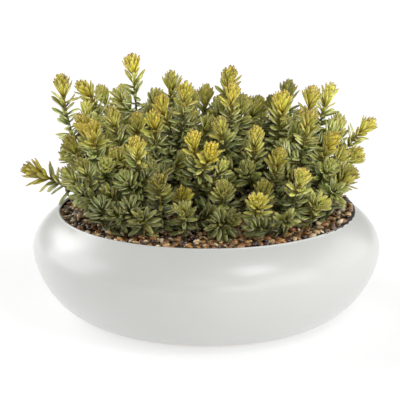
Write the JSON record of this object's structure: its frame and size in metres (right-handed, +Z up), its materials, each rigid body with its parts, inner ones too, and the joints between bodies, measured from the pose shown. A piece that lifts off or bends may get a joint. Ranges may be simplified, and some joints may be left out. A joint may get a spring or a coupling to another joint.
{
  "type": "potted donkey tail",
  "caption": "Bushy succulent with upright leafy stems and golden leaf rosettes, in a low round white ceramic bowl dressed with pea gravel.",
  "frame": {"origin": "centre of the flat foot face that the bowl stands on", "axes": "+Z up along the bowl's axis, -Y towards the front of the plant, +X to its right as seen from the front"},
  "size_m": [0.3161, 0.305, 0.231],
  "materials": {
    "ceramic": "satin white glaze, dark matte inside, bare clay foot",
    "soil": "dark crumbly potting mix",
    "pea_gravel": "glossy small pebbles, cream to dark brown",
    "golden_leaves": "waxy satin, golden yellow-green with dark tips",
    "green_leaves": "waxy satin, grey-green to sage"
  },
  "bodies": {
    "root": {"pot": "ceramic", "soil": "soil", "gravel": "pea_gravel", "stem_left_tall": "golden_leaves", "stem_left_nodding": "green_leaves", "stem_left_forked": "green_leaves", "stem_tallest": "golden_leaves", "stem_back_left": "green_leaves", "stem_centre_forked": "green_leaves", "stem_centre_back": "green_leaves", "stem_right_of_centre": "green_leaves", "stem_golden_centre": "golden_leaves", "stem_back_right": "green_leaves", "stem_right_middle": "green_leaves", "stem_right_tall": "golden_leaves", "stem_right_back": "green_leaves", "stem_right_leaning": "green_leaves", "stem_left_golden": "golden_leaves", "stem_left_inner": "green_leaves", "stem_inner_golden": "golden_leaves", "stem_left_facing": "golden_leaves", "stem_left_low_golden": "golden_leaves", "stem_centre_facing": "golden_leaves", "stem_right_inner": "green_leaves", "stem_right_facing": "golden_leaves", "stem_right_shoulder": "green_leaves", "stem_right_side": "green_leaves", "stem_left_front": "green_leaves", "stem_left_reaching": "green_leaves", "stem_front_left": "green_leaves", "stem_front_low_golden": "golden_leaves", "stem_front_facing": "golden_leaves", "stem_front_centre": "green_leaves", "stem_front_right": "green_leaves", "stem_front_right_inner": "green_leaves", "stem_front_right_golden": "golden_leaves", "stem_right_front": "green_leaves", "stem_right_drooping": "green_leaves", "stem_front_right_low": "green_leaves", "stem_front_low": "green_leaves", "stem_front_low_left": "green_leaves", "stem_left_low": "green_leaves", "stem_rear_left_end": "green_leaves", "stem_rear_left": "green_leaves", "stem_rear_left_inner": "green_leaves", "stem_rear_centre_left": "green_leaves", "stem_rear_centre": "green_leaves", "stem_rear_right_inner": "green_leaves", "stem_rear_right": "green_leaves", "stem_rear_right_end": "green_leaves", "stem_rear_low_left": "green_leaves", "stem_rear_low_right": "green_leaves"}
  },
  "joints": []
}
